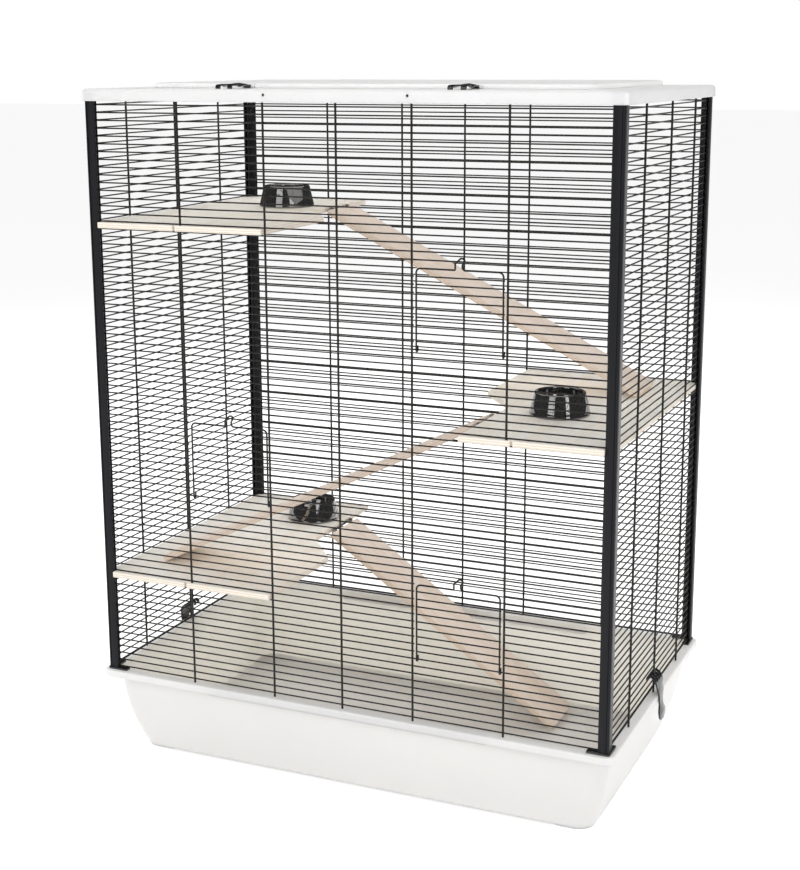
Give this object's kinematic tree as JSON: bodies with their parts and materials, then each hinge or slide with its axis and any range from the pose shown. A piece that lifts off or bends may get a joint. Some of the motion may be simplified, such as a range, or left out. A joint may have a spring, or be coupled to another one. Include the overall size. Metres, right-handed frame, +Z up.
{
  "type": "ferret cage",
  "caption": "Tall wire ferret cage with a deep white tray, charcoal corner posts, a white lid with a hatch, wire doors, wooden shelves, sloping ramps and black bowls.",
  "frame": {"origin": "the middle of the face on which the tray stands", "axes": "+X to the right seen from the front, +Y towards the back, +Z up; the wall with the doors faces -Y"},
  "size_m": [0.7934, 0.474, 0.9793],
  "materials": {
    "white_tray": "smooth moulded, slight sheen",
    "white_lid": "smooth moulded, slight sheen",
    "charcoal_post": "extruded, satin gloss",
    "black_clip": "glossy moulded",
    "black_wire": "glossy black coating",
    "shelf_wood": "sanded pale board",
    "ramp_wood": "sanded pale board",
    "bowl_plastic": "glossy",
    "bright_steel": "plated"
  },
  "bodies": {
    "tray": {"tray": "white_tray"},
    "cage": {"post_front_left": "charcoal_post", "post_front_right": "charcoal_post", "post_back_left": "charcoal_post", "post_back_right": "charcoal_post", "post_shoes": "black_clip", "front_bars_bottom": "black_wire", "front_bars_low_left": "black_wire", "front_bars_low_right": "black_wire", "front_bars_below_middle": "black_wire", "front_bars_middle_left": "black_wire", "front_bars_middle_right": "black_wire", "front_bars_above_middle": "black_wire", "front_bars_high_left": "black_wire", "front_bars_high_right": "black_wire", "front_bars_top": "black_wire", "front_uprights": "black_wire", "back_bars": "black_wire", "back_uprights": "black_wire", "left_bars": "black_wire", "left_uprights": "black_wire", "right_bars": "black_wire", "right_uprights": "black_wire", "bottom_rails": "black_wire", "lid_frame": "white_lid", "hatch_hinge_pins": "bright_steel", "shelf_lower": "shelf_wood", "shelf_middle": "shelf_wood", "shelf_upper": "shelf_wood", "ramp_lower_hinge": "bright_steel", "ramp_middle_hinge": "bright_steel", "ramp_upper_hinge": "bright_steel"},
    "door_lower_right": {"door_lower_right": "black_wire"},
    "door_left": {"door_left": "black_wire"},
    "door_upper_right": {"door_upper_right": "black_wire"},
    "hatch": {"hatch": "white_lid", "roof_clip_pins": "bright_steel"},
    "roof_clip_left": {"roof_clip_left": "black_clip"},
    "roof_clip_right": {"roof_clip_right": "black_clip"},
    "side_clip_left": {"side_clip_left": "black_clip"},
    "side_clip_right": {"side_clip_right": "black_clip"},
    "bowl_lower": {"bowl_lower": "bowl_plastic"},
    "bowl_middle": {"bowl_middle": "bowl_plastic"},
    "bowl_upper": {"bowl_upper": "bowl_plastic"},
    "ramp_lower": {"ramp_lower": "ramp_wood", "ramp_lower_eyes": "bright_steel"},
    "ramp_middle": {"ramp_middle": "ramp_wood", "ramp_middle_eyes": "bright_steel"},
    "ramp_upper": {"ramp_upper": "ramp_wood", "ramp_upper_eyes": "bright_steel"}
  },
  "joints": [
    {"name": "cage_lift", "type": "slide", "parent": "tray", "child": "cage", "axis": [0, 0, 1], "range_m": [0, 0.15]},
    {"name": "door_lower_right_swing", "type": "hinge", "parent": "cage", "child": "door_lower_right", "pos_m": [0.17115, -0.2247, 0.2187], "axis": [1, 0, 0], "range_deg": [0, 150]},
    {"name": "door_left_swing", "type": "hinge", "parent": "cage", "child": "door_left", "pos_m": [-0.16915, -0.2247, 0.4095], "axis": [1, 0, 0], "range_deg": [0, 150]},
    {"name": "door_upper_right_swing", "type": "hinge", "parent": "cage", "child": "door_upper_right", "pos_m": [0.17115, -0.2247, 0.6427], "axis": [1, 0, 0], "range_deg": [0, 150]},
    {"name": "hatch_swing", "type": "hinge", "parent": "cage", "child": "hatch", "pos_m": [0, 0.1945, 0.9755], "axis": [-1, 0, 0], "range_deg": [0, 100]},
    {"name": "roof_clip_left_swing", "type": "hinge", "parent": "hatch", "child": "roof_clip_left", "pos_m": [-0.165, -0.1587, 0.9743], "axis": [-1, 0, 0], "range_deg": [0, 80]},
    {"name": "roof_clip_right_swing", "type": "hinge", "parent": "hatch", "child": "roof_clip_right", "pos_m": [0.165, -0.1587, 0.9743], "axis": [-1, 0, 0], "range_deg": [0, 80]},
    {"name": "side_clip_left_swing", "type": "hinge", "parent": "cage", "child": "side_clip_left", "pos_m": [-0.3777, 0, 0.1551], "axis": [0, 1, 0], "range_deg": [0, 45]},
    {"name": "side_clip_right_swing", "type": "hinge", "parent": "cage", "child": "side_clip_right", "pos_m": [0.3777, 0, 0.1551], "axis": [0, -1, 0], "range_deg": [0, 45]},
    {"name": "bowl_lower_lift", "type": "slide", "parent": "cage", "child": "bowl_lower", "axis": [0, 0, 1], "range_m": [0, 0.06]},
    {"name": "bowl_middle_lift", "type": "slide", "parent": "cage", "child": "bowl_middle", "axis": [0, 0, 1], "range_m": [0, 0.06]},
    {"name": "bowl_upper_lift", "type": "slide", "parent": "cage", "child": "bowl_upper", "axis": [0, 0, 1], "range_m": [0, 0.06]},
    {"name": "ramp_lower_lift", "type": "hinge", "parent": "cage", "child": "ramp_lower", "pos_m": [-0.1675, 0.122, 0.277], "axis": [0, -1, 0], "range_deg": [0, 25]},
    {"name": "ramp_middle_lift", "type": "hinge", "parent": "cage", "child": "ramp_middle", "pos_m": [0.1675, -0.122, 0.5314], "axis": [0, 1, 0], "range_deg": [0, 10]},
    {"name": "ramp_upper_lift", "type": "hinge", "parent": "cage", "child": "ramp_upper", "pos_m": [-0.1675, 0.122, 0.7858], "axis": [0, -1, 0], "range_deg": [0, 10]}
  ]
}
